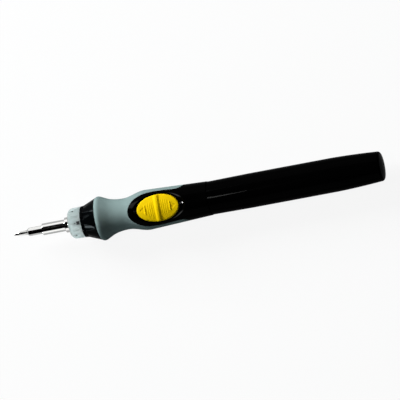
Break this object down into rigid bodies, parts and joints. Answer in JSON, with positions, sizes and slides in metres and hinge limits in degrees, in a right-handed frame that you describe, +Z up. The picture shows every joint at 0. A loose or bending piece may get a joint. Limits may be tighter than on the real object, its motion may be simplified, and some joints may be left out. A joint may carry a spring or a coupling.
{
  "type": "electric screwdriver",
  "caption": "Slim battery screwdriver with a hex bit holder, torque dial, soft waisted grip, oval thumb slide switch and a long pull-off battery sleeve.",
  "frame": {"origin": "on the surface the tool lies on, below the middle of its length", "axes": "+X along the tool from the bit's tip to the rear end, +Z up through the thumb switch"},
  "size_m": [0.2022, 0.0234, 0.0235],
  "materials": {
    "bit_steel": "plain hardened steel, slightly dark",
    "holder_chrome": "bright chrome plate",
    "dial_grey": "light grey moulded plastic",
    "collar_black": "black moulded plastic, half gloss",
    "grip_grey": "grey soft-touch rubber",
    "shell_black": "black glossy plastic",
    "sleeve_black": "black glossy plastic",
    "switch_yellow": "yellow moulded plastic",
    "inner_plastic": "dark moulded plastic",
    "case_plastic": "grey engineering plastic",
    "gear_plastic": "natural acetal",
    "gear_steel": "sintered steel",
    "spring_steel": "spring steel",
    "zinc_steel": "zinc-plated steel",
    "bush_bronze": "oiled sintered bronze",
    "magnet_grey": "ferrite magnet",
    "magnet_nickel": "nickel-plated magnet",
    "winding_copper": "enamelled copper wire",
    "copper": "bare copper",
    "contact_brass": "nickel-brass strip",
    "board_green": "green circuit board",
    "cell_jacket": "plain jacketed cell, no print"
  },
  "bodies": {
    "handle": {"spindle_bush": "bush_bronze", "dial_circlip": "spring_steel", "clutch_spring": "spring_steel", "clutch_washer": "zinc_steel", "clutch_balls": "bit_steel", "nose_collar": "collar_black", "gear_case": "case_plastic", "ring_gear": "gear_plastic", "motor_plate": "zinc_steel", "motor_screws": "zinc_steel", "motor_can": "zinc_steel", "motor_magnets": "magnet_grey", "motor_end_cap": "inner_plastic", "motor_terminals": "contact_brass", "lower_shell": "shell_black", "upper_shell": "shell_black", "grip_sleeve": "grip_grey", "case_screws": "zinc_steel", "switch_frame": "inner_plastic", "return_spring_front": "spring_steel", "return_spring_rear": "spring_steel", "switch_board": "board_green", "switch_pads": "copper", "battery_cradle": "inner_plastic", "battery_front_contact": "contact_brass", "battery_rear_contact": "spring_steel", "return_strip": "contact_brass", "battery_cell_1": "cell_jacket", "battery_cell_2": "cell_jacket"},
    "spindle": {"bit_holder": "holder_chrome", "socket_magnet": "magnet_nickel", "spindle_clip": "spring_steel", "output_carrier": "gear_steel"},
    "bit": {"screw_bit": "bit_steel"},
    "first_carrier": {"mid_carrier": "gear_steel"},
    "rotor": {"motor_shaft": "bit_steel", "motor_pinion": "gear_steel", "armature_core": "gear_steel", "armature_windings": "winding_copper", "commutator": "copper"},
    "dial": {"torque_dial": "dial_grey"},
    "nut": {"clutch_nut": "inner_plastic"},
    "switch": {"switch_button": "switch_yellow", "switch_carriage": "inner_plastic", "bridge_contacts": "contact_brass"},
    "cover": {"battery_sleeve": "sleeve_black"},
    "planet_out_1": {"planet_out_1": "gear_plastic"},
    "planet_mid_1": {"planet_mid_1": "gear_plastic"},
    "planet_out_2": {"planet_out_2": "gear_plastic"},
    "planet_mid_2": {"planet_mid_2": "gear_plastic"},
    "planet_out_3": {"planet_out_3": "gear_plastic"},
    "planet_mid_3": {"planet_mid_3": "gear_plastic"}
  },
  "joints": [
    {"name": "spindle_spin", "type": "hinge", "parent": "handle", "child": "spindle", "pos_m": [0, 0, 0.01175], "axis": [1, 0, 0], "continuous": true},
    {"name": "bit_pull", "type": "slide", "parent": "spindle", "child": "bit", "axis": [-1, 0, 0], "range_m": [0, 0.03]},
    {"name": "first_carrier_spin", "type": "hinge", "parent": "handle", "child": "first_carrier", "pos_m": [0, 0, 0.01175], "axis": [1, 0, 0], "continuous": true},
    {"name": "rotor_spin", "type": "hinge", "parent": "handle", "child": "rotor", "pos_m": [0, 0, 0.01175], "axis": [1, 0, 0], "continuous": true},
    {"name": "dial_turn", "type": "hinge", "parent": "handle", "child": "dial", "pos_m": [0, 0, 0.01175], "axis": [1, 0, 0], "range_deg": [-154, 154]},
    {"name": "clutch_nut_travel", "type": "slide", "parent": "dial", "child": "nut", "axis": [1, 0, 0], "range_m": [-0.00105, 0.00105], "deforming": ["clutch_spring"]},
    {"name": "switch_slide", "type": "slide", "parent": "handle", "child": "switch", "axis": [1, 0, 0], "range_m": [-0.0016, 0.0016], "stiffness_N_per_m": 250, "deforming": ["return_spring_front", "return_spring_rear"]},
    {"name": "cover_pull", "type": "slide", "parent": "handle", "child": "cover", "axis": [1, 0, 0], "range_m": [0, 0.1]},
    {"name": "planet_out_1_spin", "type": "hinge", "parent": "spindle", "child": "planet_out_1", "pos_m": [0, 0.00297, 0.01175], "axis": [1, 0, 0], "continuous": true},
    {"name": "planet_mid_1_spin", "type": "hinge", "parent": "first_carrier", "child": "planet_mid_1", "pos_m": [0, 0.00297, 0.01175], "axis": [1, 0, 0], "continuous": true},
    {"name": "planet_out_2_spin", "type": "hinge", "parent": "spindle", "child": "planet_out_2", "pos_m": [0, -0.00148, 0.01432], "axis": [1, 0, 0], "continuous": true},
    {"name": "planet_mid_2_spin", "type": "hinge", "parent": "first_carrier", "child": "planet_mid_2", "pos_m": [0, -0.00148, 0.01432], "axis": [1, 0, 0], "continuous": true},
    {"name": "planet_out_3_spin", "type": "hinge", "parent": "spindle", "child": "planet_out_3", "pos_m": [0, -0.00148, 0.00918], "axis": [1, 0, 0], "continuous": true},
    {"name": "planet_mid_3_spin", "type": "hinge", "parent": "first_carrier", "child": "planet_mid_3", "pos_m": [0, -0.00148, 0.00918], "axis": [1, 0, 0], "continuous": true}
  ],
  "couplings": [
    {"joint": "first_carrier_spin", "follows": "spindle_spin", "ratio": 6},
    {"joint": "rotor_spin", "follows": "spindle_spin", "ratio": 36},
    {"joint": "clutch_nut_travel", "follows": "dial_turn", "m_per_rad": 0.00037},
    {"joint": "planet_out_1_spin", "follows": "spindle_spin", "ratio": -2.5},
    {"joint": "planet_mid_1_spin", "follows": "spindle_spin", "ratio": -15},
    {"joint": "planet_out_2_spin", "follows": "spindle_spin", "ratio": -2.5},
    {"joint": "planet_mid_2_spin", "follows": "spindle_spin", "ratio": -15},
    {"joint": "planet_out_3_spin", "follows": "spindle_spin", "ratio": -2.5},
    {"joint": "planet_mid_3_spin", "follows": "spindle_spin", "ratio": -15}
  ]
}
